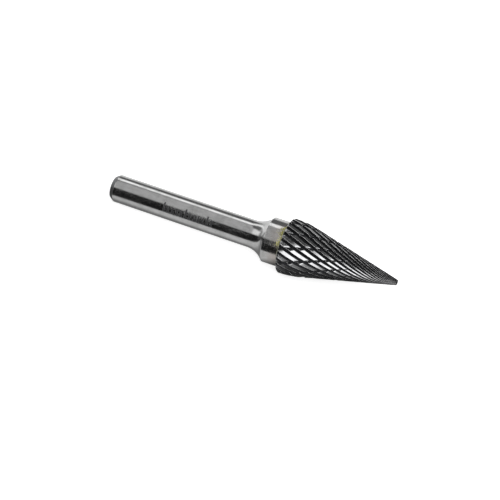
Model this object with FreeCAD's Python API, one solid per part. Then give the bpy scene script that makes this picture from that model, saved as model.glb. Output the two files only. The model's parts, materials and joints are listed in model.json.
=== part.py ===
import FreeCAD, Part
import math
import os

# A rotary burr: a pointed cone of tungsten carbide with ground teeth, brazed to a turned steel
# shank that goes in the collet of a die grinder. It has no moving parts.
#
# Everything is first made along the tool's own axis, which is X here, from the shank's end face at
# x = 0 to the blunt point. Then the whole tool is laid down as it comes to rest on a table.

# Sizes over all, in millimetres.
OVERALL_LENGTH = 65.0
HEAD_LENGTH = 25.0
HEAD_DIAMETER = 12.0
TIP_DIAMETER = 1.2
HEAD_BACK_CHAMFER = 0.3
HEAD_STRAIGHT_LENGTH = 0.45
HEAD_SHOULDER_RADIUS = 18.0

# Steel part. The straight shank takes the length that the collar and the neck leave.
SHANK_DIAMETER = 6.0
SHANK_END_CHAMFER_LENGTH = 1.0
SHANK_END_CHAMFER_DEPTH = 0.7
NECK_RADIUS = 5.2
COLLAR_DIAMETER = 9.8
COLLAR_LENGTH = 3.7

# Braze: a thin layer between two flat faces, and the bead that it leaves in the corner.
BRAZE_THICKNESS = 0.15
BRAZE_BEAD = 0.3

# Main flutes, right-handed. Depths are at the largest diameter and shrink with the cone, but not
# quite as fast, and the lands get narrower towards the point.
FLUTE_COUNT = 25
FLUTE_HELIX_DEGREES = 18.5
FLUTE_DEPTH = 0.6
LAND_SHARE_OF_PITCH = 0.56
LAND_SHARE_AT_TIP = 0.42
LAND_DROP = 0.17
DEEPER_TO_TIP = 0.3
RAKE_LEAN_DEGREES = 9.0

# Chip-breaker grooves, left-handed, across the teeth. They get shallower and run out before the point.
GROOVE_COUNT = 11
GROOVE_HELIX_DEGREES = 19.3
GROOVE_DEPTH = 0.38
GROOVE_WIDTH = 0.74
GROOVE_START_DEGREES = 21.6
GROOVE_RUN_OUT = 11.0
GROOVE_STOP_BEFORE_TIP = 4.5

# How finely the helical lines are drawn, and how far a cutter stands proud of what it cuts.
CONE_STEPS = 14
TURN_STEPS = 60
CUTTER_CLEARANCE = 0.2

# Places along the axis that follow from the sizes.
SHANK_R = SHANK_DIAMETER / 2
COLLAR_R = COLLAR_DIAMETER / 2
HEAD_R = HEAD_DIAMETER / 2
TIP_R = TIP_DIAMETER / 2
STEEL_LENGTH = OVERALL_LENGTH - HEAD_LENGTH - BRAZE_THICKNESS
HEAD_BACK_X = STEEL_LENGTH + BRAZE_THICKNESS
HEAD_RIM_X = HEAD_BACK_X + HEAD_BACK_CHAMFER
COLLAR_X = STEEL_LENGTH - COLLAR_LENGTH
NECK_ANGLE = math.acos(1 - (COLLAR_R - SHANK_R) / NECK_RADIUS)
NECK_X = COLLAR_X - NECK_RADIUS * math.sin(NECK_ANGLE)
SHOULDER_X = HEAD_RIM_X + HEAD_STRAIGHT_LENGTH

# The cone's straight side is the line from the tip's edge that just touches the shoulder arc.
SHOULDER_TO_TIP = math.hypot(OVERALL_LENGTH - SHOULDER_X, HEAD_SHOULDER_RADIUS - HEAD_R + TIP_R)
TIP_BEARING = math.asin((HEAD_SHOULDER_RADIUS - HEAD_R + TIP_R) / SHOULDER_TO_TIP)
CONE_ANGLE = math.asin(HEAD_SHOULDER_RADIUS / SHOULDER_TO_TIP) - TIP_BEARING
CONE_X = SHOULDER_X + HEAD_SHOULDER_RADIUS * math.sin(CONE_ANGLE)
FLUTE_PITCH = 2 * math.pi / FLUTE_COUNT

AXIS_START = FreeCAD.Vector(0, 0, 0)
AXIS = FreeCAD.Vector(1, 0, 0)


def profile_point(x, radius):
    """A point of a turned outline, in the plane that holds the axis."""
    return FreeCAD.Vector(x, 0, radius)


def turned(edges):
    """The solid that a closed outline sweeps when it turns once round the axis."""
    return Part.Face(Part.Wire(edges)).revolve(AXIS_START, AXIS, 360)


def straight_edges(points):
    return [Part.LineSegment(a, b).toShape() for a, b in zip(points, points[1:])]


def steel_shank():
    """Shank, concave neck and collar in one turned piece, with a chamfered free end."""
    end = [
        profile_point(0, 0),
        profile_point(0, SHANK_R - SHANK_END_CHAMFER_DEPTH),
        profile_point(SHANK_END_CHAMFER_LENGTH, SHANK_R),
        profile_point(NECK_X, SHANK_R),
    ]
    middle = NECK_ANGLE / 2
    neck_middle = profile_point(
        NECK_X + NECK_RADIUS * math.sin(middle), SHANK_R + NECK_RADIUS * (1 - math.cos(middle))
    )
    collar = [
        profile_point(COLLAR_X, COLLAR_R),
        profile_point(STEEL_LENGTH, COLLAR_R),
        profile_point(STEEL_LENGTH, 0),
        end[0],
    ]
    neck = Part.Arc(end[-1], neck_middle, collar[0]).toShape()
    return turned(straight_edges(end) + [neck] + straight_edges(collar))


def braze_joint():
    """The braze layer, with a small sloping bead in the corner between the collar and the head."""
    outline = [
        profile_point(STEEL_LENGTH, 0),
        profile_point(STEEL_LENGTH, COLLAR_R),
        profile_point(STEEL_LENGTH - BRAZE_BEAD, COLLAR_R),
        profile_point(HEAD_BACK_X, COLLAR_R + BRAZE_BEAD),
        profile_point(HEAD_BACK_X, 0),
    ]
    return turned(straight_edges(outline + outline[:1]))


def tip_radius(x):
    """Radius over the tooth tips: straight at the back, an arc at the shoulder, then a cone."""
    if x < SHOULDER_X:
        return HEAD_R
    if x < CONE_X:
        drop = HEAD_SHOULDER_RADIUS - math.sqrt(HEAD_SHOULDER_RADIUS**2 - (x - SHOULDER_X) ** 2)
        return HEAD_R - drop
    return TIP_R + (OVERALL_LENGTH - x) * math.tan(CONE_ANGLE)


def helix_turn(x, helix_degrees):
    """How far a line of constant helix angle has turned since the head's largest diameter."""
    step = (x - HEAD_RIM_X) / TURN_STEPS
    middles = [HEAD_RIM_X + (i + 0.5) * step for i in range(TURN_STEPS)]
    return math.tan(math.radians(helix_degrees)) * sum(step / tip_radius(m) for m in middles)


def stations(start_x, end_x):
    """Places along the head for the points of a helical line: close together where it turns fast."""
    apex_x = OVERALL_LENGTH + TIP_R / math.tan(CONE_ANGLE)
    shrink = (apex_x - end_x) / (apex_x - CONE_X)
    cone = [apex_x - (apex_x - CONE_X) * shrink ** (i / CONE_STEPS) for i in range(CONE_STEPS + 1)]
    return [start_x, HEAD_RIM_X, SHOULDER_X, (SHOULDER_X + CONE_X) / 2] + cone


def helical_line(places, angle_at, share_at):
    """A curve round the cone. Angle 0 is straight down; share is of the radius over the tips."""
    points = []
    for x in places:
        angle = angle_at(x)
        radius = tip_radius(x) * share_at(x)
        points.append(FreeCAD.Vector(x, radius * math.sin(angle), -radius * math.cos(angle)))
    curve = Part.BSplineCurve()
    curve.interpolate(Points=points, Parameters=places)
    return curve.toShape()


def solid_between(lines):
    """A closed solid with one ruled strip from each line to the next, and flat ends."""
    following = lines[1:] + lines[:1]
    faces = [Part.makeRuledSurface(a, b, 1) for a, b in zip(lines, following)]
    for end in (0, -1):
        corners = [line.Vertexes[end].Point for line in lines]
        faces.append(Part.Face(Part.makePolygon(corners + corners[:1])))
    shell = Part.Shell(faces)
    shell.sewShape()
    solid = Part.Solid(shell)
    if solid.Volume < 0:
        solid.reverse()
    return solid


def fluted_cone():
    """The cone with its saw teeth: a ring of teeth that shrinks and turns towards the point.

    Going round, each tooth has a cutting edge, a land that falls away behind it, a steeper heel
    down to the root, and then the rake face of the next tooth. The edge leads to the right-hand
    side, seen from the shank, which is the way that a grinder turns.
    """
    places = stations(HEAD_BACK_X, OVERALL_LENGTH)
    rake_turn = FLUTE_DEPTH * math.tan(math.radians(RAKE_LEAN_DEGREES)) / HEAD_R

    def land_turn(x):
        narrower = (LAND_SHARE_OF_PITCH - LAND_SHARE_AT_TIP) * (x - HEAD_BACK_X) / HEAD_LENGTH
        return (LAND_SHARE_OF_PITCH - narrower) * FLUTE_PITCH

    def share_left(x, depth):
        return 1 - depth / HEAD_R * (HEAD_R / tip_radius(x)) ** DEEPER_TO_TIP

    corners = [
        (lambda x: 0.0, 0.0),
        (land_turn, LAND_DROP),
        (lambda x: FLUTE_PITCH - rake_turn, FLUTE_DEPTH),
    ]
    lines = []
    for tooth in range(FLUTE_COUNT):
        edge_angle = -(tooth + 0.5) * FLUTE_PITCH
        for behind, depth in corners:

            def angle_at(x, edge_angle=edge_angle, behind=behind):
                return edge_angle - behind(x) + helix_turn(x, FLUTE_HELIX_DEGREES)

            def share_at(x, depth=depth):
                return share_left(x, depth)

            lines.append(helical_line(places, angle_at, share_at))
    return solid_between(lines)


def groove_fade(x):
    """1 where a groove has its full depth, falling smoothly to 0 where it has run out."""
    stop = OVERALL_LENGTH - GROOVE_STOP_BEFORE_TIP
    left = min(1.0, max(0.0, (stop - x) / GROOVE_RUN_OUT))
    return left * left * (3 - 2 * left)


def groove_cutter(start):
    """A wedge along one left-handed line, with its sharp side down in the teeth."""
    lift = CUTTER_CLEARANCE / HEAD_R
    full_depth = GROOVE_DEPTH / HEAD_R
    half_turn = GROOVE_WIDTH / 2 / HEAD_R
    first = HEAD_BACK_X - 2 * CUTTER_CLEARANCE
    last = OVERALL_LENGTH - GROOVE_STOP_BEFORE_TIP + 2 * CUTTER_CLEARANCE
    places = stations(first, last)

    def depth(x):
        fade = groove_fade(x)
        return full_depth * fade - lift / 4 * (1 - fade)

    def side(x, way):
        spread = half_turn * (lift + depth(x)) / full_depth
        return start + way * spread - helix_turn(x, GROOVE_HELIX_DEGREES)

    return solid_between(
        [
            helical_line(places, lambda x: side(x, 0), lambda x: 1 - depth(x)),
            helical_line(places, lambda x: side(x, -1), lambda x: 1 + lift),
            helical_line(places, lambda x: side(x, 1), lambda x: 1 + lift),
        ]
    )


def back_chamfer_cutter():
    """A ring that takes the corner off the teeth where they meet the head's flat back."""
    reach = HEAD_BACK_CHAMFER + CUTTER_CLEARANCE
    low = profile_point(HEAD_BACK_X - CUTTER_CLEARANCE, HEAD_R - reach)
    high = profile_point(HEAD_BACK_X + reach, HEAD_R + CUTTER_CLEARANCE)
    corner = profile_point(HEAD_BACK_X - CUTTER_CLEARANCE, HEAD_R + CUTTER_CLEARANCE)
    return turned(straight_edges([low, high, corner, low]))


def cutting_head():
    """The carbide cone: saw teeth all round, cut across by the chip-breaker grooves."""
    first_groove = math.radians(GROOVE_START_DEGREES)
    groove_pitch = 2 * math.pi / GROOVE_COUNT
    cutters = [groove_cutter(first_groove + i * groove_pitch) for i in range(GROOVE_COUNT)]
    return fluted_cone().cut(cutters + [back_chamfer_cutter()]).Solids[0]


def at_rest():
    """The placement that lays the tool down on z = 0, with its point towards +X.

    It rests on the edges of two neighbouring teeth at the head's largest diameter and on the rim
    behind the shank's end chamfer, so the axis rises a little towards the point. The origin is
    under the middle of the bounding box.
    """
    head_drop = HEAD_R * math.cos(FLUTE_PITCH / 2)
    tilt = math.atan2(head_drop - SHANK_R, HEAD_RIM_X - SHANK_END_CHAMFER_LENGTH)
    lift = SHANK_R * math.cos(tilt) - SHANK_END_CHAMFER_LENGTH * math.sin(tilt)
    low_x = -(SHANK_R - SHANK_END_CHAMFER_DEPTH) * math.sin(tilt)
    high_x = OVERALL_LENGTH * math.cos(tilt) + TIP_R * math.sin(tilt)
    turn = FreeCAD.Rotation(FreeCAD.Vector(0, 1, 0), -math.degrees(tilt))
    return FreeCAD.Placement(FreeCAD.Vector(-(low_x + high_x) / 2, 0, lift), turn)


PIECES = {
    "steel_shank": steel_shank,
    "braze_joint": braze_joint,
    "cutting_head": cutting_head,
}

os.makedirs("parts", exist_ok=True)
rest = at_rest()
for name, make in PIECES.items():
    piece = make()
    piece.Placement = rest
    piece.exportStep("parts/" + name + ".step")
    print(name, len(piece.Faces), "faces,", round(piece.Volume, 3), "cubic mm")

free_end = rest.multVec(AXIS_START)
shank_middle = rest.multVec(FreeCAD.Vector((SHANK_END_CHAMFER_LENGTH + NECK_X) / 2, 0, 0))
print("shank: free end at", free_end, "middle of the straight part at", shank_middle)
print("straight length", round(NECK_X - SHANK_END_CHAMFER_LENGTH, 3), "axis", rest.Rotation.multVec(AXIS))
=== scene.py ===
# %% [markdown]
# # A rotary burr on a white table
#
# The tool is a cone of tungsten carbide, cut all over with small saw teeth, brazed to a turned
# steel shank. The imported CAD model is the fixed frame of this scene: it says how large everything
# is and where it lies. This script dresses it: finer shapes, finishes, light and a camera.

# %% Load the frame
import bpy
import json
import math
from mathutils import Matrix, Vector


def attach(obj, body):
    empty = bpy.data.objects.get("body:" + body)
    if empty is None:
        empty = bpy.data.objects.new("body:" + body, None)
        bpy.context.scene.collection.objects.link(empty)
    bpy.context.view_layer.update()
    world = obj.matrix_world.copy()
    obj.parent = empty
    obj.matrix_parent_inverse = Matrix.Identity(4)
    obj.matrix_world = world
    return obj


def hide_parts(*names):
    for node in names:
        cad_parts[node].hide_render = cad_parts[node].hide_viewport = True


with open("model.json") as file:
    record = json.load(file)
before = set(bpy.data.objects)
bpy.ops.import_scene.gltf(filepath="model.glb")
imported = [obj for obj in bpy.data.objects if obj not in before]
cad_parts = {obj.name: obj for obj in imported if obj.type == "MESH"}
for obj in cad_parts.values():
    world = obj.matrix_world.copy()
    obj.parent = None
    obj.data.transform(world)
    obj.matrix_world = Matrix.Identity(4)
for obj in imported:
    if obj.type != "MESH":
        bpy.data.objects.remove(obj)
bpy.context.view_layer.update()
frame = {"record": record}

# %% [markdown]
# ## The tool's own axis
#
# Everything on the tool is turned or ground round one axis, so it is easiest to make it lying along
# X, with x = 0 at the shank's end face, and to lay it down afterwards. The record's mount gives the
# axis: the middle of the straight shank and the direction in which the shank goes into its chuck.

# %% Where the tool lies
MM = 0.001
SHANK_MIDDLE_X = 16.566

mount = frame["record"]["mounts"][0]
axis = -Vector(mount["axis"]).normalized()
across = Vector((0, 1, 0))
upward = axis.cross(across).normalized()
shank_end = Vector(mount["pos_m"]) - axis * SHANK_MIDDLE_X * MM
LAY_DOWN = Matrix.Translation(shank_end) @ Matrix((axis, across, upward)).transposed().to_4x4()
print("shank end at", [round(v / MM, 3) for v in shank_end], "axis", [round(v, 4) for v in axis])

# %% [markdown]
# ## Sizes
#
# These are the same sizes, in millimetres, as in the part's CAD source. The head's outline is
# straight for a short way, then bends over a shoulder into a straight cone.

# %% Sizes of the tool
SHANK_R = 3.0
COLLAR_R = 4.9
NECK_RADIUS = 5.2
STEEL_LENGTH = 39.85
COLLAR_LENGTH = 3.7
END_CHAMFER_LENGTH = 1.0
END_CHAMFER_DEPTH = 0.7

OVERALL_LENGTH = 65.0
HEAD_BACK_X = 40.0
HEAD_R = 6.0
TIP_R = 0.6
BACK_CHAMFER = 0.3
SHOULDER_X = 40.75
SHOULDER_RADIUS = 18.0
reach = math.hypot(OVERALL_LENGTH - SHOULDER_X, SHOULDER_RADIUS - HEAD_R + TIP_R)
lower = (SHOULDER_RADIUS - HEAD_R + TIP_R) / reach
CONE_ANGLE = math.asin(SHOULDER_RADIUS / reach) - math.asin(lower)
CONE_X = SHOULDER_X + SHOULDER_RADIUS * math.sin(CONE_ANGLE)
print("cone half-angle", round(math.degrees(CONE_ANGLE), 2), "degrees from x =", round(CONE_X, 2))

# %% [markdown]
# ## Camera
#
# The photograph looks down on the tool from in front and a little from the pointed end, through a
# long lens: the shank shows hardly any perspective. So the camera stands almost half a metre away,
# and aims a little below the tool's axis, as the picture is framed.

# %% Camera
CAMERA_AZIMUTH = 23.05
CAMERA_ELEVATION = 62.7
CAMERA_DISTANCE = 0.45
CAMERA_LENS = 153.8
LOOK_AT_X = 33.0
LOOK_BELOW = 3.41
BELOW_IN_PICTURE = (-0.3227, -0.9465)

az, el = math.radians(CAMERA_AZIMUTH), math.radians(CAMERA_ELEVATION)
towards_camera = Vector((math.cos(el) * math.sin(az), -math.cos(el) * math.cos(az), math.sin(el)))
camera_right = Vector((math.cos(az), math.sin(az), 0))
camera_up = towards_camera.cross(camera_right)
below_axis = camera_right * BELOW_IN_PICTURE[0] + camera_up * BELOW_IN_PICTURE[1]
below_axis.normalize()
aim = shank_end + axis * LOOK_AT_X * MM + below_axis * LOOK_BELOW * MM

lens = bpy.data.cameras.new("camera")
lens.lens = CAMERA_LENS
lens.clip_end = 10
camera = bpy.data.objects.new("camera", lens)
camera.location = aim + towards_camera * CAMERA_DISTANCE
camera.rotation_euler = (-towards_camera).to_track_quat("-Z", "Y").to_euler()
bpy.context.scene.collection.objects.link(camera)
bpy.context.scene.camera = camera
bpy.context.scene.view_settings.view_transform = "Standard"
print("camera at", [round(v, 3) for v in camera.location])

# %% [markdown]
# ## Small helpers for node trees
#
# A node tree is easier to read in code when one short call makes a node, fills in its plain values
# and plugs in what feeds it. Four more names keep sums short: plus, minus, times and over.


# %% Helpers
def feed(tree, socket, value):
    """Plugs in another node's output, or fills in a plain value."""
    if isinstance(value, bpy.types.NodeSocket):
        tree.links.new(value, socket)
    else:
        socket.default_value = value


def add_node(tree, kind, settings=None, **inputs):
    """One node. Settings are its own properties; inputs go by name, or by number as i0, i1."""
    node = tree.nodes.new(kind)
    for name, value in (settings or {}).items():
        setattr(node, name, value)
    for key, value in inputs.items():
        place = int(key[1:]) if key[0] == "i" and key[1:].isdigit() else key.replace("_", " ")
        feed(tree, node.inputs[place], value)
    return node


def math_node(tree, operation, *values):
    """A Math node's result. Each value is a number or another node's output."""
    node = tree.nodes.new("ShaderNodeMath")
    node.operation = operation
    for socket, value in zip(node.inputs, values):
        feed(tree, socket, value)
    return node.outputs[0]


def plus(tree, a, b):
    return math_node(tree, "ADD", a, b)


def minus(tree, a, b):
    return math_node(tree, "SUBTRACT", a, b)


def times(tree, a, b):
    return math_node(tree, "MULTIPLY", a, b)


def over(tree, a, b):
    return math_node(tree, "DIVIDE", a, b)


def ramp(tree, value, low, high, to_low=0.0, to_high=1.0):
    """Maps a value smoothly from one range to another."""
    limits = {"i1": low, "i2": high, "i3": to_low, "i4": to_high}
    smooth = {"interpolation_type": "SMOOTHSTEP"}
    return add_node(tree, "ShaderNodeMapRange", smooth, Value=value, **limits).outputs[0]


def mesh_object(name, mesh):
    """An object at the origin that shows this mesh."""
    obj = bpy.data.objects.new(name, mesh)
    bpy.context.scene.collection.objects.link(obj)
    return obj


def count(mesh):
    """How many triangles the mesh comes to."""
    return sum(len(p.vertices) - 2 for p in mesh.polygons)


# %% [markdown]
# ## The steel shank
#
# Shank, neck and collar are turned from one bar. A lathe only knows an outline, so the mesh is made
# the same way: rings of points along the axis, one ring for each point of the outline. Every corner
# gets a tiny round, because a real edge is never quite sharp and it catches the light. One more
# point on each side of a round keeps the flat faces beside it evenly shaded.


# %% Turn an outline
def rounded_outline(corners, steps=4):
    """An outline through (x, radius, rounding) corners, each rounded by a small arc-like curve."""
    points = []
    for i, (x, r, size) in enumerate(corners):
        here = Vector((x, r))
        if size == 0 or i in (0, len(corners) - 1):
            points.append(here)
            continue
        before = Vector(corners[i - 1][:2]) - here
        after = Vector(corners[i + 1][:2]) - here
        a = here + before.normalized() * size
        b = here + after.normalized() * size
        points.append(a + before.normalized() * size / 3)
        for k in range(steps + 1):
            t = k / steps
            points.append(a * (1 - t) ** 2 + here * 2 * t * (1 - t) + b * t**2)
        points.append(b + after.normalized() * size / 3)
    return points


def turned_mesh(name, outline, segments=256):
    """The closed shape that an outline from the axis to the axis sweeps round X."""
    verts = []
    rings = []
    for x, r in outline:
        if r < 1e-6:
            rings.append([len(verts)])
            verts.append((x * MM, 0, 0))
            continue
        rings.append(range(len(verts), len(verts) + segments))
        for k in range(segments):
            angle = 2 * math.pi * k / segments
            verts.append((x * MM, r * MM * math.sin(angle), -r * MM * math.cos(angle)))
    faces = []
    for a, b in zip(rings, rings[1:]):
        for k in range(segments):
            n = (k + 1) % segments
            if len(a) == 1:
                faces.append((a[0], b[k], b[n]))
            elif len(b) == 1:
                faces.append((a[k], b[0], a[n]))
            else:
                faces.append((a[k], b[k], b[n], a[n]))
    mesh = bpy.data.meshes.new(name)
    mesh.from_pydata(verts, [], faces)
    mesh.transform(LAY_DOWN)
    mesh.polygons.foreach_set("use_smooth", [True] * len(mesh.polygons))
    mesh.update()
    return mesh


# %% [markdown]
# The bar's outline runs from the middle of the end face, over its chamfer, along the shank, up the
# neck's arc to the collar, and down the flat face that the head is brazed to.

# %% Steel shank
NECK_STEPS = 24
CORNER_ROUND, FACE_ROUND = 0.12, 0.08
NECK_ANGLE = math.acos(1 - (COLLAR_R - SHANK_R) / NECK_RADIUS)
COLLAR_X = STEEL_LENGTH - COLLAR_LENGTH
NECK_X = COLLAR_X - NECK_RADIUS * math.sin(NECK_ANGLE)
neck = [
    (NECK_X + NECK_RADIUS * math.sin(a), SHANK_R + NECK_RADIUS * (1 - math.cos(a)), 0)
    for a in [NECK_ANGLE * i / NECK_STEPS for i in range(NECK_STEPS)]
]
steel_outline = rounded_outline(
    [
        (0, 0, 0),
        (0, SHANK_R - END_CHAMFER_DEPTH, CORNER_ROUND),
        (END_CHAMFER_LENGTH, SHANK_R, CORNER_ROUND),
        *neck,
        (COLLAR_X, COLLAR_R, CORNER_ROUND),
        (STEEL_LENGTH, COLLAR_R, FACE_ROUND),
        (STEEL_LENGTH, 0, 0),
    ]
)
steel = mesh_object("turned_steel_shank", turned_mesh("turned_steel_shank", steel_outline))
print("steel shank:", count(steel.data), "triangles")

# %% [markdown]
# ## The cutting head
#
# The head follows a rule, so Geometry Nodes make it, in the order of the real work. A straight bar
# with saw teeth is swept along the axis. Then it is tapered to the cone's outline and twisted, so
# that the teeth wind round it at a constant helix angle. Last, the chip-breaker grooves are cut
# across the teeth: each point inside a groove is pushed in to the groove's wall.

# %% Sizes of the teeth
FLUTES = 25
FLUTE_HELIX = 18.5
FLUTE_DEPTH = 0.6
LAND_SHARE = 0.56
LAND_SHARE_AT_TIP = 0.42
LAND_DROP = 0.17
DEEPER_TO_TIP = 0.3
RAKE_LEAN = 9.0
EDGE_ROUND = 0.035
GROOVES = 11
GROOVE_HELIX = 19.3
GROOVE_DEPTH = 0.38
GROOVE_WIDTH = 0.74
GROOVE_START = 21.6
GROOVE_RUN_OUT = 11.0
GROOVE_STOP_X = OVERALL_LENGTH - 4.5
STATION_STEP = 0.1

# %% [markdown]
# The tooth's outline has six points: two for the cutting edge with its tiny flat, one for the heel
# of the land, and three for the rounded root. The table gives each one's place within one pitch,
# going round from the cutting edge, its radius as a share, how many extra points follow it, and
# whether it is on the cutting edge, down in the gullet, or on the land's heel. The small numbers in
# the last three rows are the root's rounding, in radians and in shares of the radius.

# %% Corners of one tooth
pitch = 2 * math.pi / FLUTES
rake_turn = FLUTE_DEPTH * math.tan(math.radians(RAKE_LEAN)) / HEAD_R
edge_turn = EDGE_ROUND / HEAD_R
root_share = 1 - FLUTE_DEPTH / HEAD_R
TOOTH = [
    (0.0, 1 - 0.6 * EDGE_ROUND / HEAD_R, 0, 1.0, 0.0, 0.0),
    (edge_turn, 1.0, 3, 1.0, 0.0, 0.0),
    (LAND_SHARE * pitch, 1 - LAND_DROP / HEAD_R, 2, 0.0, 0.0, 1.0),
    (pitch - rake_turn - 0.03, root_share + 0.003, 0, 0.0, 1.0, 0.0),
    (pitch - rake_turn - 0.004, root_share + 0.001, 0, 0.0, 1.0, 0.0),
    (pitch - rake_turn, root_share + 0.008, 1, 0.0, 1.0, 0.0),
]
tooth_points = len(TOOTH) + sum(row[2] for row in TOOTH)
print("one tooth has", tooth_points, "points, a ring", tooth_points * FLUTES)


# %% [markdown]
# A Geometry Nodes tree is a recipe. Its named inputs are the numbers that a person would want to
# change later. The table above goes into it as fields that pick a row by the corner's number.

# %% Geometry Nodes for the head
def step_table(tree, index, values):
    """A field that picks a value by a whole number, by adding up comparisons."""
    total = None
    for k, value in enumerate(values):
        same = math_node(tree, "COMPARE", index, float(k), 0.1)
        part = times(tree, same, value)
        total = part if total is None else plus(tree, total, part)
    return total


def tree_with_inputs(name, inputs):
    """An empty Geometry Nodes tree with named inputs. Returns the tree and its input node."""
    tree = bpy.data.node_groups.new(name, "GeometryNodeTree")
    tree.interface.new_socket("Geometry", in_out="OUTPUT", socket_type="NodeSocketGeometry")
    for label, (kind, value) in inputs.items():
        socket = tree.interface.new_socket(label, in_out="INPUT", socket_type=kind)
        if value is not None:
            socket.default_value = value
    return tree, tree.nodes.new("NodeGroupInput").outputs


def store(tree, geometry, name, value, kind="FLOAT"):
    """Keeps a value on the points under a name, for later nodes and for materials."""
    node = add_node(tree, "GeometryNodeStoreNamedAttribute", {"data_type": kind}, Name=name)
    tree.links.new(geometry, node.inputs["Geometry"])
    tree.links.new(value, node.inputs["Value"])
    return node.outputs[0]


def finish_tree(tree, geometry, material):
    """Realizes the geometry, gives it its material and puts it out."""
    real = add_node(tree, "GeometryNodeRealizeInstances", Geometry=geometry)
    done = add_node(tree, "GeometryNodeSetMaterial", Geometry=real.outputs[0], Material=material)
    tree.links.new(done.outputs[0], tree.nodes.new("NodeGroupOutput").inputs[0])


NUMBER, WHOLE = "NodeSocketFloat", "NodeSocketInt"
head_inputs = {
    "Flutes": (WHOLE, FLUTES),
    "Flute Helix": (NUMBER, math.radians(FLUTE_HELIX)),
    "Deeper To Tip": (NUMBER, DEEPER_TO_TIP),
    "Narrower To Tip": (NUMBER, (LAND_SHARE - LAND_SHARE_AT_TIP) * pitch),
    "Grooves": (WHOLE, GROOVES),
    "Groove Helix": (NUMBER, math.radians(GROOVE_HELIX)),
    "Groove Start": (NUMBER, math.radians(GROOVE_START)),
    "Groove Depth": (NUMBER, GROOVE_DEPTH),
    "Groove Width": (NUMBER, GROOVE_WIDTH),
    "Stations": (WHOLE, round((OVERALL_LENGTH - HEAD_BACK_X) / STATION_STEP) + 1),
    "Material": ("NodeSocketMaterial", None),
}
tree, given = tree_with_inputs("saw_toothed_cone", head_inputs)

# %% [markdown]
# First the ring of teeth. A circle gets one point for each corner of each tooth. A point's number
# says which tooth and which corner it is, and so its angle and radius. Subdivide Curve then adds
# the extra points on straight lines between the corners.

# %% Ring of teeth
corner_count = float(len(TOOTH))
ring_points = times(tree, given["Flutes"], corner_count)
circle = add_node(tree, "GeometryNodeCurvePrimitiveCircle", Resolution=ring_points, Radius=1.0)
index = tree.nodes.new("GeometryNodeInputIndex").outputs[0]
tooth_number = math_node(tree, "FLOOR", over(tree, plus(tree, index, 0.5), corner_count))
corner = minus(tree, index, times(tree, tooth_number, corner_count))
one_pitch = over(tree, 2 * math.pi, given["Flutes"])
behind = step_table(tree, corner, [row[0] for row in TOOTH])
share = step_table(tree, corner, [row[1] for row in TOOTH])
edge_angle = times(tree, plus(tree, tooth_number, 0.5), one_pitch)
ring_angle = times(tree, plus(tree, edge_angle, behind), -1.0)
ring_place = add_node(
    tree,
    "ShaderNodeCombineXYZ",
    X=times(tree, times(tree, share, -1.0), math_node(tree, "SINE", ring_angle)),
    Y=times(tree, share, math_node(tree, "COSINE", ring_angle)),
)
ring = add_node(
    tree, "GeometryNodeSetPosition", Geometry=circle.outputs[0], Position=ring_place.outputs[0]
)
marked_ring = ring.outputs[0]
for name, column in (("cutting_edge", 3), ("gullet", 4), ("heel", 5)):
    mark = step_table(tree, corner, [row[column] for row in TOOTH])
    marked_ring = store(tree, marked_ring, name, mark)
fine_ring = add_node(
    tree,
    "GeometryNodeSubdivideCurve",
    Curve=marked_ring,
    Cuts=step_table(tree, corner, [float(row[2]) for row in TOOTH]),
)
print("ring of teeth:", len(tree.nodes), "nodes")

# %% [markdown]
# The path is a straight line of evenly spaced stations. Each station knows the cone's radius there,
# and how far a line of 45 degrees would have wound round the cone by then: the sum of all steps,
# each divided by its radius. That sum is what makes the twist faster towards the thin end.

# %% Path along the axis
line = add_node(
    tree,
    "GeometryNodeCurvePrimitiveLine",
    Start=(HEAD_BACK_X, 0, 0),
    End=(OVERALL_LENGTH, 0, 0),
)
path = add_node(tree, "GeometryNodeResampleCurve", Curve=line.outputs[0], Count=given["Stations"])


def cone_radius(tree, x):
    """Radius over the tooth tips at x: straight, then a shoulder arc, then a cone."""
    on_arc = math_node(tree, "MINIMUM", math_node(tree, "MAXIMUM", x, SHOULDER_X), CONE_X)
    run = minus(tree, on_arc, SHOULDER_X)
    inside = minus(tree, SHOULDER_RADIUS**2, times(tree, run, run))
    drop = minus(tree, SHOULDER_RADIUS, math_node(tree, "SQRT", inside))
    beyond = math_node(tree, "MAXIMUM", minus(tree, x, CONE_X), 0.0)
    slope = times(tree, beyond, math.tan(CONE_ANGLE))
    return minus(tree, minus(tree, HEAD_R, drop), slope)


here = tree.nodes.new("GeometryNodeInputPosition").outputs[0]
path_x = add_node(tree, "ShaderNodeSeparateXYZ", Vector=here).outputs["X"]
steps = minus(tree, given["Stations"], 1.0)
step = over(tree, OVERALL_LENGTH - HEAD_BACK_X, steps)
step_middle = minus(tree, path_x, times(tree, step, 0.5))
wound = add_node(tree, "GeometryNodeAccumulateField", {"data_type": "FLOAT", "domain": "POINT"})
tree.links.new(over(tree, step, cone_radius(tree, step_middle)), wound.inputs[0])
start_back = plus(tree, over(tree, step, HEAD_R), BACK_CHAMFER / HEAD_R)
winding = minus(tree, wound.outputs["Leading"], start_back)
bar = add_node(
    tree,
    "GeometryNodeCurveToMesh",
    Curve=store(tree, path.outputs[0], "winding", winding),
    Profile_Curve=fine_ring.outputs[0],
    Fill_Caps=True,
)
print("with the path:", len(tree.nodes), "nodes")

# %% [markdown]
# Now taper and twist the bar: each point keeps its x and gets a new radius and a new angle. The
# bar's untwisted shape is also stored as an attribute: grinding marks run along the teeth, so the
# material looks up its scratches in the straight bar.

# %% Taper and twist
here = tree.nodes.new("GeometryNodeInputPosition").outputs[0]
bar_x, bar_y, bar_z = add_node(tree, "ShaderNodeSeparateXYZ", Vector=here).outputs[:3]
kept_bar = store(tree, bar.outputs[0], "straight_bar", here, "FLOAT_VECTOR")


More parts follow.
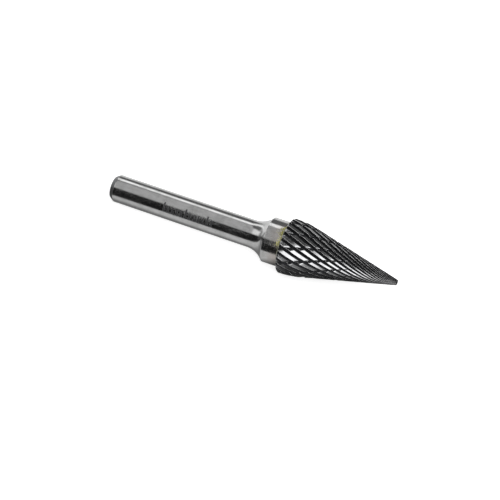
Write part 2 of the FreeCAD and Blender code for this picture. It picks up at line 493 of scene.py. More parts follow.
def read_back(name):
    """A number that an earlier node stored."""
    node = add_node(tree, "GeometryNodeInputNamedAttribute", {"data_type": "FLOAT"}, Name=name)
    return node.outputs["Attribute"]


wind = read_back("winding")
tip_r = cone_radius(tree, bar_x)
squares = plus(tree, times(tree, bar_y, bar_y), times(tree, bar_z, bar_z))
even_share = math_node(tree, "SQRT", squares)
deeper = math_node(tree, "POWER", over(tree, HEAD_R, tip_r), given["Deeper To Tip"])
bar_share = minus(tree, 1.0, times(tree, minus(tree, 1.0, even_share), deeper))
bar_angle = math_node(tree, "ARCTAN2", bar_y, times(tree, bar_z, -1.0))
twist = times(tree, wind, math_node(tree, "TANGENT", given["Flute Helix"]))
along = over(tree, minus(tree, bar_x, HEAD_BACK_X), OVERALL_LENGTH - HEAD_BACK_X)
heel_shift = times(tree, times(tree, read_back("heel"), along), given["Narrower To Tip"])
angle = plus(tree, plus(tree, bar_angle, twist), heel_shift)
print("straight bar of teeth, tapered and twisted over", OVERALL_LENGTH - HEAD_BACK_X, "mm")

# %% [markdown]
# A groove winds the other way. Its V-shaped wall is a radius that rises with the distance from the
# groove's middle, and the tooth keeps whichever is lower, its own radius or the wall's. The grooves
# get shallower towards the point and stop before it. The back edge has a small chamfer, and all of
# the head is a hair smaller than its CAD solid, so that no tooth pokes out of the model's box.

# %% Cut the grooves
FLOOR_ROUND = 0.006
A_HAIR_INSIDE = 0.999
groove_twist = times(tree, wind, math_node(tree, "TANGENT", given["Groove Helix"]))
from_first = minus(tree, plus(tree, angle, groove_twist), given["Groove Start"])
half_pitch = over(tree, math.pi, given["Grooves"])
off_groove = math_node(tree, "WRAP", from_first, half_pitch, times(tree, half_pitch, -1.0))
left = over(tree, minus(tree, GROOVE_STOP_X, bar_x), GROOVE_RUN_OUT)
fade = ramp(tree, left, 0.0, 1.0)
depth_share = times(tree, over(tree, given["Groove Depth"], HEAD_R), fade)
squares = plus(tree, times(tree, off_groove, off_groove), FLOOR_ROUND**2)
rounded_off = math_node(tree, "SQRT", squares)
wall_slope = over(tree, given["Groove Depth"], times(tree, given["Groove Width"], 0.5))
wall_rise = times(tree, minus(tree, rounded_off, FLOOR_ROUND), wall_slope)
groove_share = plus(tree, minus(tree, 1.0, depth_share), wall_rise)
in_groove = minus(tree, bar_share, groove_share)
cut_share = math_node(tree, "SMOOTH_MIN", bar_share, groove_share, FLOOR_ROUND)
cut_radius = times(tree, cut_share, times(tree, tip_r, A_HAIR_INSIDE))
chamfer_radius = plus(tree, bar_x, HEAD_R - BACK_CHAMFER - HEAD_BACK_X)
radius = math_node(tree, "MINIMUM", cut_radius, chamfer_radius)
new_place = add_node(
    tree,
    "ShaderNodeCombineXYZ",
    X=bar_x,
    Y=times(tree, radius, math_node(tree, "SINE", angle)),
    Z=times(tree, times(tree, radius, math_node(tree, "COSINE", angle)), -1.0),
)
marked = store(tree, kept_bar, "groove", times(tree, in_groove, HEAD_R))
ground = add_node(
    tree, "GeometryNodeSetPosition", Geometry=marked, Position=new_place.outputs[0]
)
finish_tree(tree, ground.outputs[0], given["Material"])
print("head's node tree:", len(tree.nodes), "nodes")

# %% [markdown]
# A modifier runs the tree. Its result is then kept as a plain mesh, laid down with the rest of the
# tool, and the modifier goes.


# %% Bake a tree into a plain mesh
def baked(name, tree, inputs, material):
    """Runs a tree on an empty mesh object and keeps the result as a plain mesh object."""
    obj = mesh_object(name, bpy.data.meshes.new(name))
    modifier = obj.modifiers.new("nodes", "NODES")
    modifier.node_group = tree
    ids = {s.name: s.identifier for s in tree.interface.items_tree if s.in_out == "INPUT"}
    for label, (_, value) in inputs.items():
        modifier[ids[label]] = material if label == "Material" else value
    bpy.context.view_layer.update()
    shown = obj.evaluated_get(bpy.context.evaluated_depsgraph_get())
    mesh = bpy.data.meshes.new_from_object(shown)
    mesh.name = name
    obj.modifiers.clear()
    obj.data = mesh
    mesh.transform(LAY_DOWN @ Matrix.Scale(MM, 4))
    return obj


carbide = bpy.data.materials.new("ground_carbide")
steel_finish = bpy.data.materials.new("turned_steel")
braze_finish = bpy.data.materials.new("brass_braze")

head = baked("toothed_carbide_head", tree, head_inputs, carbide)
head_top = max(v.co.z for v in head.data.vertices)
print("head:", count(head.data), "triangles, its top is", round(head_top / MM, 2), "mm up")

# %% [markdown]
# ## The braze
#
# Braze is brass-like metal that ran into the thin gap between the collar and the head, and set with
# a small uneven bead in the corner. A circle round the joint is the path; noise with a fixed seed
# makes the bead thicker and thinner, and lets it wander a little, as melted metal does.

# %% Geometry Nodes for the braze bead
BEAD_R = 4.96
BEAD_X = 39.84
BEAD_THICKNESS = 0.16
BEAD_WANDER = 0.28
BEAD_POINTS, BEAD_SIDES = 600, 14
bead_inputs = {
    "Bead Radius": (NUMBER, BEAD_THICKNESS),
    "Unevenness": (NUMBER, 0.55),
    "Lump Scale": (NUMBER, 0.9),
    "Seed": (NUMBER, 4.0),
    "Material": ("NodeSocketMaterial", None),
}
bead_tree, given = tree_with_inputs("braze_bead", bead_inputs)
joint_circle = add_node(
    bead_tree, "GeometryNodeCurvePrimitiveCircle", Resolution=BEAD_POINTS, Radius=BEAD_R
)
circle_place = add_node(
    bead_tree,
    "ShaderNodeSeparateXYZ",
    Vector=bead_tree.nodes.new("GeometryNodeInputPosition").outputs[0],
)
round_x = add_node(
    bead_tree,
    "ShaderNodeCombineXYZ",
    X=BEAD_X,
    Y=circle_place.outputs["X"],
    Z=circle_place.outputs["Y"],
)
upright = add_node(bead_tree, "GeometryNodeSetPosition", Geometry=joint_circle.outputs[0])
bead_tree.links.new(round_x.outputs[0], upright.inputs["Position"])


def bead_noise(offset, detail):
    """Noise along the bead, from -0.5 to 0.5, that meets itself after one turn."""
    noise = add_node(
        bead_tree,
        "ShaderNodeTexNoise",
        {"noise_dimensions": "4D"},
        Vector=bead_tree.nodes.new("GeometryNodeInputPosition").outputs[0],
        W=plus(bead_tree, given["Seed"], offset),
        Scale=given["Lump Scale"],
        Detail=detail,
    )
    return minus(bead_tree, noise.outputs[0], 0.5)


wander = add_node(
    bead_tree,
    "ShaderNodeCombineXYZ",
    X=times(bead_tree, bead_noise(10.0, 2.0), BEAD_WANDER),
)
wandering = add_node(
    bead_tree, "GeometryNodeSetPosition", Geometry=upright.outputs[0], Offset=wander.outputs[0]
)
unevenness = times(bead_tree, times(bead_tree, bead_noise(0.0, 4.0), 2.0), given["Unevenness"])
swell = plus(bead_tree, 1.0, unevenness)
bead_section = add_node(
    bead_tree, "GeometryNodeCurvePrimitiveCircle", Resolution=BEAD_SIDES, Radius=1.0
)
bead_mesh = add_node(
    bead_tree,
    "GeometryNodeCurveToMesh",
    Curve=wandering.outputs[0],
    Profile_Curve=bead_section.outputs[0],
    Scale=times(bead_tree, swell, given["Bead Radius"]),
)
smooth_bead = add_node(bead_tree, "GeometryNodeSetShadeSmooth", Geometry=bead_mesh.outputs[0])
finish_tree(bead_tree, smooth_bead.outputs[0], given["Material"])
bead = baked("uneven_braze_bead", bead_tree, bead_inputs, braze_finish)
print("braze bead:", count(bead.data), "triangles")

# %% [markdown]
# ## Crisp corners
#
# On the steel, faces that meet at a clear angle keep a sharp edge between them, and the rest is
# shaded smoothly, as all of the bead is. On the head only the lines along the teeth are sharp
# (cutting edge, heel and root), and the rims of its two ends. The attributes from the ring of teeth
# tell which edges those are. The grooves run across the mesh, so their corners look cleaner when
# they are shaded smoothly.

# %% Smooth and sharp
CREASE_ANGLE = 30
for obj in (steel, bead, head):
    obj.data.polygons.foreach_set("use_smooth", [True] * len(obj.data.polygons))
steel.data.set_sharp_from_angle(angle=math.radians(CREASE_ANGLE))


def values_of(mesh, name, width=1):
    """An attribute's values at the points, as a list of numbers or of tuples."""
    attribute = mesh.attributes[name]
    numbers = [0.0] * (len(attribute.data) * width)
    attribute.data.foreach_get("value" if width == 1 else "vector", numbers)
    return numbers if width == 1 else list(zip(*[iter(numbers)] * width))


bar_places = values_of(head.data, "straight_bar", 3)
corner_marks = [values_of(head.data, name) for name in ("cutting_edge", "gullet", "heel")]
on_corner = [max(trio) > 0.99 for trio in zip(*corner_marks)]
for edge in head.data.edges:
    a, b = (bar_places[k] for k in edge.vertices)
    along_tooth = math.dist(a[1:], b[1:]) < 1e-5
    from_an_end = min(a[0] - HEAD_BACK_X, OVERALL_LENGTH - a[0])
    at_an_end = a[0] == b[0] and from_an_end < STATION_STEP / 10
    edge.use_edge_sharp = (along_tooth and on_corner[edge.vertices[0]]) or at_an_end
print("sharp edges on the head:", sum(e.use_edge_sharp for e in head.data.edges))

# %% [markdown]
# ## Finishes
#
# Two effects are used by more than one material, so each is a shader node group. Grinding and
# turning leave fine parallel scratches: noise that is squeezed across the scratches and stretched
# along them. Handling leaves soft smudges.


# %% Shared effects
def shader_group(name, inputs, output):
    """An empty node group for shaders: its tree, its inputs and its one output, a number."""
    group = bpy.data.node_groups.new(name, "ShaderNodeTree")
    for label, (kind, value) in inputs.items():
        socket = group.interface.new_socket(label, in_out="INPUT", socket_type=kind)
        if value is not None:
            socket.default_value = value
    group.interface.new_socket(output, in_out="OUTPUT", socket_type=NUMBER)
    given = group.nodes.new("NodeGroupInput").outputs
    return group, given, group.nodes.new("NodeGroupOutput").inputs[0]


VECTOR = "NodeSocketVector"
marks_inputs = {"Lay": (VECTOR, None), "Scale": (NUMBER, 1.0), "Contrast": (NUMBER, 1.0)}
scratches, given, put = shader_group("fine_scratches", marks_inputs, "Marks")
FINER, FINE_SHARE = 3.7, 0.6
coarse = add_node(
    scratches, "ShaderNodeTexNoise", Vector=given["Lay"], Scale=given["Scale"], Detail=3.0
)
fine_scale = times(scratches, given["Scale"], FINER)
fine = add_node(scratches, "ShaderNodeTexNoise", Vector=given["Lay"], Scale=fine_scale, Detail=2.0)
both = plus(scratches, coarse.outputs[0], times(scratches, fine.outputs[0], FINE_SHARE))
middle = 0.5 + 0.5 * FINE_SHARE
centred = times(scratches, minus(scratches, both, middle), given["Contrast"])
scratches.links.new(centred, put)

smudge_inputs = {"Place": (VECTOR, None), "Scale": (NUMBER, 1.0), "Amount": (NUMBER, 1.0)}
smudges, given, put = shader_group("soft_smudges", smudge_inputs, "Smudge")
cloud = add_node(
    smudges,
    "ShaderNodeTexNoise",
    Vector=given["Place"],
    Scale=given["Scale"],
    Detail=5.0,
    Roughness=0.6,
)
patch = ramp(smudges, cloud.outputs[0], 0.42, 0.66)
smudges.links.new(times(smudges, patch, given["Amount"]), put)
print("shared effects:", scratches.name, "and", smudges.name)


# %% [markdown]
# Patterns that go round the tool need to know where they are on it. A Mapping node turns Object
# coordinates back into the tool's own frame, in millimetres.


# %% Helpers for materials
to_tool = LAY_DOWN.inverted()


def material_start(material):
    """Gives a material nodes. Returns its tree, its shader and the place on the tool in mm."""
    material.use_nodes = True
    tree = material.node_tree
    shader = tree.nodes["Principled BSDF"]
    coordinates = tree.nodes.new("ShaderNodeTexCoord")
    turned_back = add_node(
        tree,
        "ShaderNodeMapping",
        Vector=coordinates.outputs["Object"],
        Location=to_tool.translation,
        Rotation=to_tool.to_euler(),
    )
    in_mm = add_node(tree, "ShaderNodeVectorMath", {"operation": "SCALE"}, Scale=1 / MM)
    tree.links.new(turned_back.outputs[0], in_mm.inputs[0])
    return tree, shader, in_mm.outputs[0]


def squeezed(tree, place, scale):
    """The same place with each direction scaled by its own number."""
    node = add_node(
        tree, "ShaderNodeVectorMath", {"operation": "MULTIPLY"}, i0=place, i1=scale
    )
    return node.outputs[0]


def marked_by(tree, group, place, scale, stretch=(1.0, 1.0, 1.0)):
    """A shared effect's marks at this place, at its full strength."""
    place = place if stretch == (1.0, 1.0, 1.0) else squeezed(tree, place, stretch)
    return add_node(tree, "ShaderNodeGroup", {"node_tree": group}, i0=place, i1=scale).outputs[0]


def stored(tree, name, output="Fac"):
    """What Geometry Nodes stored on the points under this name."""
    return add_node(tree, "ShaderNodeAttribute", {"attribute_name": name}).outputs[output]


def blend_colours(tree, factor, first, second):
    """A Mix node for colours. Each colour is a triple or another node's output."""
    node = tree.nodes.new("ShaderNodeMix")
    node.data_type = "RGBA"
    feed(tree, node.inputs[0], factor)
    for socket, colour in ((node.inputs[6], first), (node.inputs[7], second)):
        feed(tree, socket, (*colour, 1) if isinstance(colour, tuple) else colour)
    return node.outputs[2]


def summed(tree, start, *shares):
    """The start plus each value times its own weight."""
    total = start
    for value, weight in shares:
        total = plus(tree, total, times(tree, value, weight))
    return total


# %% [markdown]
# Brazing is done by hand with a torch, so it leaves its traces on one side of the joint. The angles
# round the tool say which side: where the specks lie, and where the tint of the heat is deepest.

# %% Where round the tool
SPECK_ANGLE = 177
SECOND_SPECK_ANGLE = 204
HEAT_ANGLE = 218


def towards(tree, place, angle):
    """1 on the tool's side at this angle round it, -1 on the far side. 0 is straight down."""
    way = (0, math.sin(math.radians(angle)), -math.cos(math.radians(angle)))
    flat = squeezed(tree, place, (0, 1, 1))
    outward = add_node(tree, "ShaderNodeVectorMath", {"operation": "NORMALIZE"}, i0=flat).outputs[0]
    node = add_node(tree, "ShaderNodeVectorMath", {"operation": "DOT_PRODUCT"}, i0=outward, i1=way)
    return node.outputs["Value"]


# %% [markdown]
# The shank has a plain depth scale: a base line with a tick at every millimetre and a longer one
# at every fifth. A laser burns such marks dark, and dulls the steel round them a little.

# %% Depth scale
SCALE_START_X = 12.9
SCALE_TICKS = 11
SCALE_BASE_ANGLE = 236
TICK_WIDTH = 0.38
SHORT_TICK, LONG_TICK = 1.45, 2.0


def depth_scale(tree, place):
    """Two masks: 1 on the marks of the scale, and 1 on the slightly dulled steel round them."""
    parts = add_node(tree, "ShaderNodeSeparateXYZ", Vector=place)
    along = minus(tree, parts.outputs["X"], SCALE_START_X)
    number = math_node(tree, "ROUND", along)
    off_tick = math_node(tree, "ABSOLUTE", minus(tree, along, number))
    on_tick = ramp(tree, off_tick, TICK_WIDTH / 2 + 0.03, TICK_WIDTH / 2 - 0.03)
    middle = math_node(tree, "ABSOLUTE", minus(tree, along, SCALE_TICKS / 2))
    in_scale = ramp(tree, middle, SCALE_TICKS / 2 + 0.17, SCALE_TICKS / 2 + 0.11)
    beside = towards(tree, place, SCALE_BASE_ANGLE - 90)
    sideways = times(tree, math_node(tree, "ARCSINE", beside), SHANK_R)
    fifth = math_node(tree, "PINGPONG", number, 2.5)
    tick_end = ramp(tree, fifth, 0.4, 0.6, LONG_TICK, SHORT_TICK)
    under_end = ramp(tree, minus(tree, sideways, tick_end), 0.03, -0.03)
    tick = times(tree, on_tick, under_end)
    base_line = ramp(tree, math_node(tree, "ABSOLUTE", sideways), 0.13, 0.07)
    above_base = ramp(tree, sideways, -0.13, -0.07)
    near_side = ramp(tree, towards(tree, place, SCALE_BASE_ANGLE), 0.3, 0.4)
    marks = math_node(tree, "MAXIMUM", tick, base_line)
    marks = times(tree, times(tree, marks, above_base), in_scale)
    beyond = math_node(tree, "ABSOLUTE", minus(tree, sideways, LONG_TICK / 2))
    halo = times(tree, in_scale, ramp(tree, beyond, 1.25, 1.0))
    return times(tree, marks, near_side), times(tree, halo, near_side)


# %% [markdown]
# **Turned steel.** Ground and polished: a mirror with fine lines round it. Handling left soft
# smudges and streaks along it, and the chamfer at the end is duller, because it was only turned.
# The heat of brazing left a warm tint beside the joint, and specks of braze and grey flux that no
# one cleaned off. So the colour is built up in layers, and each layer adds its own roughness.

# %% Steel
FINE_BUMP = 0.02 * MM
tree, shader, place = material_start(steel_finish)
tool_x = add_node(tree, "ShaderNodeSeparateXYZ", Vector=place).outputs["X"]
lines_round = marked_by(tree, scratches, place, 1.6, (9.0, 0.35, 0.35))
smudge = marked_by(tree, smudges, place, 0.33)
streaky = marked_by(tree, smudges, place, 1.5, (0.3, 1.0, 1.0))
as_turned = ramp(tree, tool_x, END_CHAMFER_LENGTH + 0.05, END_CHAMFER_LENGTH - 0.05)

heat = ramp(tree, plus(tree, tool_x, times(tree, smudge, 0.8)), 36.6, 40.0)
heat = times(tree, heat, ramp(tree, towards(tree, place, HEAT_ANGLE), 0.3, 0.85, 0.3, 1.0))
colour = blend_colours(tree, times(tree, smudge, 0.7), (0.66, 0.66, 0.66), (0.53, 0.535, 0.53))
colour = blend_colours(tree, times(tree, streaky, 0.3), colour, (0.44, 0.445, 0.43))
colour = blend_colours(tree, as_turned, colour, (0.24, 0.245, 0.25))
colour = blend_colours(tree, times(tree, heat, 0.55), colour, (0.55, 0.47, 0.42))

speck_noise = add_node(
    tree, "ShaderNodeTexNoise", Vector=place, Scale=4.2, Detail=3.0, Roughness=0.7
)
near_joint = ramp(tree, tool_x, 37.9, 39.6, 0.0, 0.25)
main_patch = ramp(tree, towards(tree, place, SPECK_ANGLE), 0.93, 0.99, -0.16, 0.09)
second_patch = ramp(tree, towards(tree, place, SECOND_SPECK_ANGLE), 0.95, 0.99, -0.16, 0.02)
speck_level = plus(tree, speck_noise.outputs[0], near_joint)
speck_level = plus(tree, speck_level, math_node(tree, "MAXIMUM", main_patch, second_patch))
specks = ramp(tree, speck_level, 0.74, 0.80)
flux_noise = add_node(tree, "ShaderNodeTexNoise", Vector=place, Scale=5.0).outputs[0]
grey_flux = ramp(tree, flux_noise, 0.44, 0.58)
speck_colour = blend_colours(tree, grey_flux, (0.50, 0.46, 0.09), (0.22, 0.24, 0.16))
colour = blend_colours(tree, specks, colour, speck_colour)
marks, halo = depth_scale(tree, place)
colour = blend_colours(tree, times(tree, marks, 0.95), colour, (0.03, 0.03, 0.033))
tree.links.new(colour, shader.inputs["Base Color"])
print("steel's colour:", len(tree.nodes), "nodes")

# %% [markdown]
# Everything that lies on the polish also dulls it. Specks and burnt marks aren't bare metal, so
# there the shader is less metallic.

# %% Steel's polish
rough = plus(tree, times(tree, lines_round, 0.12), 0.13)
rough = summed(tree, rough, (smudge, 0.05), (streaky, 0.05), (as_turned, 0.3))
rough = summed(tree, rough, (specks, 0.3), (marks, 0.25), (halo, 0.05))
tree.links.new(rough, shader.inputs["Roughness"])
dull = plus(tree, times(tree, specks, 0.35), times(tree, marks, 0.5))
tree.links.new(minus(tree, 1.0, dull), shader.inputs["Metallic"])
height = plus(tree, times(tree, lines_round, 0.4), times(tree, specks, 2.0))
bump = add_node(tree, "ShaderNodeBump", Strength=0.25, Distance=FINE_BUMP, Height=height)
tree.links.new(bump.outputs[0], shader.inputs["Normal"])
steel.data.materials.append(steel_finish)
print("steel:", len(tree.nodes), "nodes")

# %% [markdown]
# ** Ground carbide.** Tungsten carbide is a dark grey metal that grinds to a bright, slightly
# streaked face. The streaks run along the teeth, so they are looked up in the straight bar that the
# head was before it was twisted. Cutting edges are honed, and their lighter colour also paints a
# thin highlight along them. Gullets, grooves and the rear of each land get painted shade, a broader
# share of the land towards the point, and the thin end of the cone has been dulled by use.

# %% Carbide
tree, shader, place = material_start(carbide)
tool_x = add_node(tree, "ShaderNodeSeparateXYZ", Vector=place).outputs["X"]
streaks = marked_by(tree, scratches, stored(tree, "straight_bar", "Vector"), 1.2, (0.5, 30.0, 30.0))
smudge = marked_by(tree, smudges, place, 0.5)
edge_place = stored(tree, "cutting_edge")
edge = ramp(tree, edge_place, 0.84, 0.98)
groove = ramp(tree, stored(tree, "groove"), -0.025, 0.02)
gullet = ramp(tree, stored(tree, "gullet"), 0.0, 0.16)
# Where shade is painted: gullets, grooves and the rear of each land, more of it towards the point.
dark_share = ramp(tree, tool_x, 40.0, 58.0, 0.06, 0.32)
shaded_rear_of_land = ramp(tree, minus(tree, dark_share, edge_place), -0.05, 0.05)
painted_shade_hollows = math_node(tree, "MAXIMUM", math_node(tree, "MAXIMUM", groove, gullet), shaded_rear_of_land)
worn_tip = ramp(tree, tool_x, 56.5, 62.0)
colour = blend_colours(tree, smudge, (0.42, 0.425, 0.43), (0.35, 0.35, 0.36))
colour = blend_colours(tree, worn_tip, colour, (0.45, 0.45, 0.455))
# Painted shade: the hollows and the rear of each land are coloured near black.
colour = blend_colours(tree, painted_shade_hollows, colour, (0.040, 0.0405, 0.044))
# Painted highlight, partly real honing: the cutting edges are lighter, so a thin light line runs
# along each.
colour = blend_colours(tree, times(tree, edge, 0.8), colour, (0.72, 0.72, 0.72))
tree.links.new(colour, shader.inputs["Base Color"])
rough = plus(tree, times(tree, streaks, 0.18), 0.2)
rough = summed(tree, rough, (painted_shade_hollows, 0.5), (worn_tip, 0.4), (edge, 0.36))
tree.links.new(rough, shader.inputs["Roughness"])
shader.inputs["Metallic"].default_value = 1.0
bump = add_node(tree, "ShaderNodeBump", Strength=0.3, Distance=FINE_BUMP, Height=streaks)
tree.links.new(bump.outputs[0], shader.inputs["Normal"])
print("carbide:", len(tree.nodes), "nodes")

# %% [markdown]
# **Braze.** Silver-brass with a yellow-green cast on the side of the specks, dull where flux stayed
# on it, and greyer farther round, where it was wiped clean.

# %% Braze
LUMPY_BUMP = 0.06 * MM
tree, shader, place = material_start(braze_finish)
grain = marked_by(tree, scratches, place, 4.0)
beside_specks = towards(tree, place, SPECK_ANGLE)
flux = marked_by(tree, smudges, place, 1.6)
flux = math_node(tree, "MAXIMUM", flux, ramp(tree, beside_specks, 0.97, 0.86, 0.0, 0.9))
wiped_clean = ramp(tree, beside_specks, 0.8, 0.5, 0.0, 0.75)
colour = blend_colours(tree, flux, (0.60, 0.56, 0.20), (0.30, 0.31, 0.22))
colour = blend_colours(tree, wiped_clean, colour, (0.40, 0.40, 0.36))
tree.links.new(colour, shader.inputs["Base Color"])
tree.links.new(plus(tree, 0.32, times(tree, flux, 0.3)), shader.inputs["Roughness"])
tree.links.new(minus(tree, 1.0, times(tree, flux, 0.6)), shader.inputs["Metallic"])
bump = add_node(tree, "ShaderNodeBump", Strength=0.6, Distance=LUMPY_BUMP, Height=grain)
tree.links.new(bump.outputs[0], shader.inputs["Normal"])
print("braze:", len(tree.nodes), "nodes")

# %% [markdown]
# ## Table and room
#
# The table is white and reflects real light, so the tool's soft shadow stays on it. A share of
# plain white is added for what the camera and polished metal see.

# %% Table
FLOOR_GLOW = 0.75
ROOM_LIGHT = 0.3
floor_mesh = bpy.data.meshes.new("table_top")
floor_mesh.from_pydata([(-3, -3, 0), (3, -3, 0), (3, 3, 0), (-3, 3, 0)], [], [(0, 1, 2, 3)])
floor = mesh_object("table_top", floor_mesh)


def seen_directly(tree):
    """1 for what the camera sees, also by way of polished metal or glass, and 0 for light."""
    ray = tree.nodes.new("ShaderNodeLightPath").outputs
    seen = math_node(tree, "MAXIMUM", ray["Is Camera Ray"], ray["Is Glossy Ray"])
    return math_node(tree, "MAXIMUM", seen, ray["Is Transmission Ray"])


white_table = bpy.data.materials.new("white_table")
white_table.use_nodes = True
tree = white_table.node_tree
tree.nodes.clear()
matt = add_node(tree, "ShaderNodeBsdfDiffuse", Color=(0.85, 0.85, 0.85, 1))
glow_strength = times(tree, seen_directly(tree), FLOOR_GLOW)
glow = add_node(tree, "ShaderNodeEmission", Color=(1, 1, 1, 1), Strength=glow_strength)
lit = add_node(tree, "ShaderNodeAddShader", i0=matt.outputs[0], i1=glow.outputs[0])
add_node(tree, "ShaderNodeOutputMaterial", Surface=lit.outputs[0])
floor_mesh.materials.append(white_table)

# %% [markdown]
# The world is plain white where it is seen, and a weaker light where it lights the scene, so the
# background is white and the shadow still shows.

# %% World
world = bpy.data.worlds.new("room")
bpy.context.scene.world = world
world.use_nodes = True
tree = world.node_tree
background = tree.nodes["Background"]
background.inputs["Color"].default_value = (1, 1, 1, 1)
brightness = plus(tree, times(tree, seen_directly(tree), 1.0 - ROOM_LIGHT), ROOM_LIGHT)
tree.links.new(brightness, background.inputs["Strength"])
print("table glow", FLOOR_GLOW, "room light", ROOM_LIGHT)

# %% [markdown]
# ## Light
#
# A polished shank is a mirror that is curved one way: each strip along it shows one strip of the
# room. So the light is planned backwards, from the stripes in the photograph: which way does each
# stripe look? Directions are given as a turn round the tool (0 is towards the camera, positive is
# down in the picture) and a lean along it (positive is towards the point).

# %% Directions seen by the tool
TOOL_MIDDLE_X = 34
facing = (towards_camera - axis * towards_camera.dot(axis)).normalized()
picture_down = axis.cross(facing)
if picture_down.dot(camera_up) > 0:
    picture_down = -picture_down
tool_middle = shank_end + axis * TOOL_MIDDLE_X * MM
print("square to the axis, towards the camera:", [round(v, 3) for v in facing])


def look(turn, lean):
    """The direction that is so far round the tool and so far along it, in degrees."""
    t, a = math.radians(turn), math.radians(lean)
    return (facing * math.cos(t) + picture_down * math.sin(t)) * math.cos(a) + axis * math.sin(a)


# %% [markdown]
# The room is a large drum round the tool that only reflections can see. It is dark, as a studio is.
# The shank and neck see what leans left: a bright strip behind them that bends round the neck, a
# dark gap, a ceiling that is whiter on the far left, and a dim floor. The head sees what leans
# right: a softbox with a grey shoulder, so that its white bands end in grey ones, and a lamp behind
# the point. A function gives the brightness in each direction, and it is painted on the drum's
# points as an attribute.


# %% Room for reflections
def soft_band(value, low, high, soft):
    """1 between low and high, 0 outside, with soft edges."""
    rise = min(1.0, max(0.0, (value - low) / soft + 0.5))
    fall = min(1.0, max(0.0, (high - value) / soft + 0.5))
    return rise * rise * (3 - 2 * rise) * fall * fall * (3 - 2 * fall)


SHANK_LEANS_UP_TO = -9


def room_brightness(turn, lean):
    """What the tool sees that way round it and that far along it, in degrees."""
    # The strip behind: straight beside the shank, and bending back as the neck leans away.
    strip_turn = -78 - 0.65 * min(50, max(0, -16 - lean))
    strip = 1.3 * soft_band(turn, strip_turn - 10, strip_turn + 10, 5)
    # The ceiling, whiter on the far left, and the dark gap between it and the strip.
    high_left = soft_band(lean, -74, -34, 12)
    gap_end = -67 + 19 * soft_band(lean, -68, -25, 14)
    # What no lamp reaches: nearly black for the straight shank, dim grey for the neck's slope.
    unlit = 0.12 * soft_band(lean, -130, -28, 10) + 0.3 * soft_band(lean, -130, -62, 10)
    unlit = 0.01 + unlit * soft_band(turn, -130, -20, 10)
    ceiling = (0.5 + 0.5 * high_left) * soft_band(turn, gap_end, 2, 12)
    shank_side = max(strip, ceiling, unlit) + 0.12 * soft_band(turn, -130, -92, 8)
    shank_side += (0.13 - shank_side) * soft_band(lean, -130, -76, 22)
    # The head's side: the softbox's left edge slants, which gives the white bands slanted ends.
    dark = 0.03 + 0.1 * soft_band(turn, -180, -45, 40)
    softbox_left = max(-7.5, -4 - turn / 3, -7.5 + (turn - 25) / 3)
    softbox = max(2.6 * soft_band(turn, -40, 33, 22), 0.42 * soft_band(turn, 0, 64, 14))
    lamp_behind_point = 1.0 * soft_band(turn, -150, -50, 20) * soft_band(lean, 48, 85, 8)
    head_side = max(dark, softbox * soft_band(lean, softbox_left + 1.5, 42, 5), lamp_behind_point)
    left = soft_band(lean, -130, SHANK_LEANS_UP_TO, 4)
    return shank_side * left + head_side * (1 - left)


def painted(name, verts, faces, values):
    """A card that glows with the brightness painted on its points. Only reflections see it."""
    mesh = bpy.data.meshes.new(name)
    mesh.from_pydata(verts, [], faces)
    mesh.attributes.new("brightness", "FLOAT", "POINT").data.foreach_set("value", values)
    material = bpy.data.materials.new(name)
    material.use_nodes = True
    tree = material.node_tree
    tree.nodes.clear()
    paint = add_node(tree, "ShaderNodeAttribute", {"attribute_name": "brightness"})
    even = add_node(tree, "ShaderNodeEmission", Color=(1, 1, 1, 1), Strength=paint.outputs["Fac"])
    add_node(tree, "ShaderNodeOutputMaterial", Surface=even.outputs[0])
    mesh.materials.append(material)
    obj = mesh_object(name, mesh)
    obj.visible_camera = False
    obj.visible_diffuse = False
    obj.visible_shadow = False
    return obj


def grid_faces(rows, columns):
    """Squares between the points of a grid, as rows of point numbers."""
    return [
        (a, a + 1, a + columns + 1, a + columns)
        for a in (r * columns + c for r in range(rows - 1) for c in range(columns - 1))
    ]


DRUM_DISTANCE = 0.6
DRUM_STEP = 2
turns = range(-180, 181, DRUM_STEP)
leans = range(-90, 91, DRUM_STEP)
drum = painted(
    "reflection_drum",
    [tool_middle + look(t, a) * DRUM_DISTANCE for t in turns for a in leans],
    grid_faces(len(turns), len(leans)),
    [room_brightness(t, a) for t in turns for a in leans],
)
print("reflection drum:", len(drum.data.vertices), "painted points")

# %% [markdown]
# Seen in the metal, the table near the tool is darker than seen straight on, because the tool
# shades it.
# So a card that only reflections see lies on the table, painted with that shade: darker close to
# the tool, and dark in front of the pointed end.


# %% Painted shade on the table
SHADE_CARD_HEIGHT = 0.02 * MM


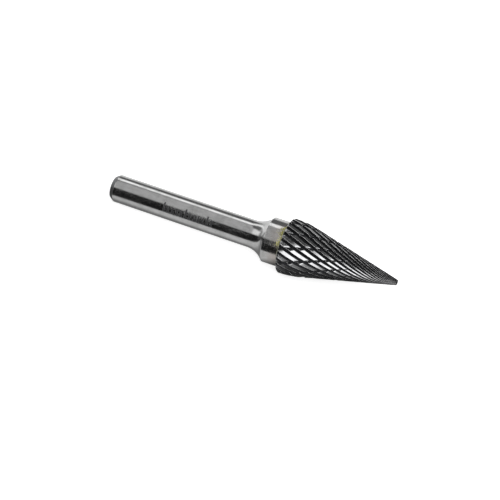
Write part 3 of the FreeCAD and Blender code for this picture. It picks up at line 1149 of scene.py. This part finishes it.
def table_shade_brightness(x, y):
    """Painted shade and brightness of the table at x, y in millimetres. The camera's side is -y."""
    if y > 0:
        close_by = soft_band(y, 3, 45, 10)
        far_left = soft_band(x + 0.5 * y, -900, -30, 15)
        beside_shank = 0.15 + 0.7 * max(close_by, far_left)
        beside_head = 0.06 + 0.55 * soft_band(y, 2.5, 500, 4)
    else:
        beside_shank = 0.2 + 0.42 * soft_band(-y, 7, 500, 6)
        beside_shank += (0.04 - beside_shank) * soft_band(x, -900, -41, 4)
        beside_head = 0.06
    head_share = soft_band(x, 9, 500, 4) if y > 0 else soft_band(x, 5.5, 500, 2.5)
    return beside_shank * (1 - head_share) + beside_head * head_share


# Close to the tool the points are dense, because there its edge is seen in the metal.
xs = [-600, -300] + [-150 + 3 * i for i in range(101)] + [300, 600]
ys = [-600, -300, -120, -90, -60, -40, -30, -24, -20, -17, -14, -12, *range(-10, 1)]
ys += [-y for y in reversed(ys[:-1])]
# Painted shade: this card shows the tool's shade on the table, in reflections only.
table_shade_card = painted(
    "painted_table_shade",
    [(x * MM, y * MM, SHADE_CARD_HEIGHT) for x in xs for y in ys],
    grid_faces(len(xs), len(ys)),
    [table_shade_brightness(x, y) for x in xs for y in ys],
)
print("paper:", len(table_shade_card.data.vertices), "painted points")

# %% [markdown]
# One real lamp, a square softbox above and a little towards the point, gives the faint soft shadow.
# The metal doesn't see it, because its reflection is already painted on the drum.

# %% Lamp
LAMP_TURN, LAMP_LEAN = -20, 20
LAMP_DISTANCE = 0.8
LAMP_SIZE = 0.6
LAMP_POWER = 4.0
lamp = bpy.data.lights.new("key_softbox", "AREA")
lamp.shape = "RECTANGLE"
lamp.size = lamp.size_y = LAMP_SIZE
lamp.energy = LAMP_POWER
softbox = bpy.data.objects.new("key_softbox", lamp)
from_tool = look(LAMP_TURN, LAMP_LEAN)
softbox.location = tool_middle + from_tool * LAMP_DISTANCE
softbox.rotation_euler = from_tool.to_track_quat("Z", "Y").to_euler()
softbox.visible_glossy = False
bpy.context.scene.collection.objects.link(softbox)
print("lamp at", [round(v, 2) for v in softbox.location])

# %% [markdown]
# ## Pieces on the body
#
# Each piece rides on the tool's one body and stands for its CAD solid, which is hidden.

# %% Finish
for piece, node, slot in (
    (steel, "steel_shank", "steel"),
    (bead, "braze_joint", "braze"),
    (head, "cutting_head", "carbide"),
):
    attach(piece, "root")
    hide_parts(node)
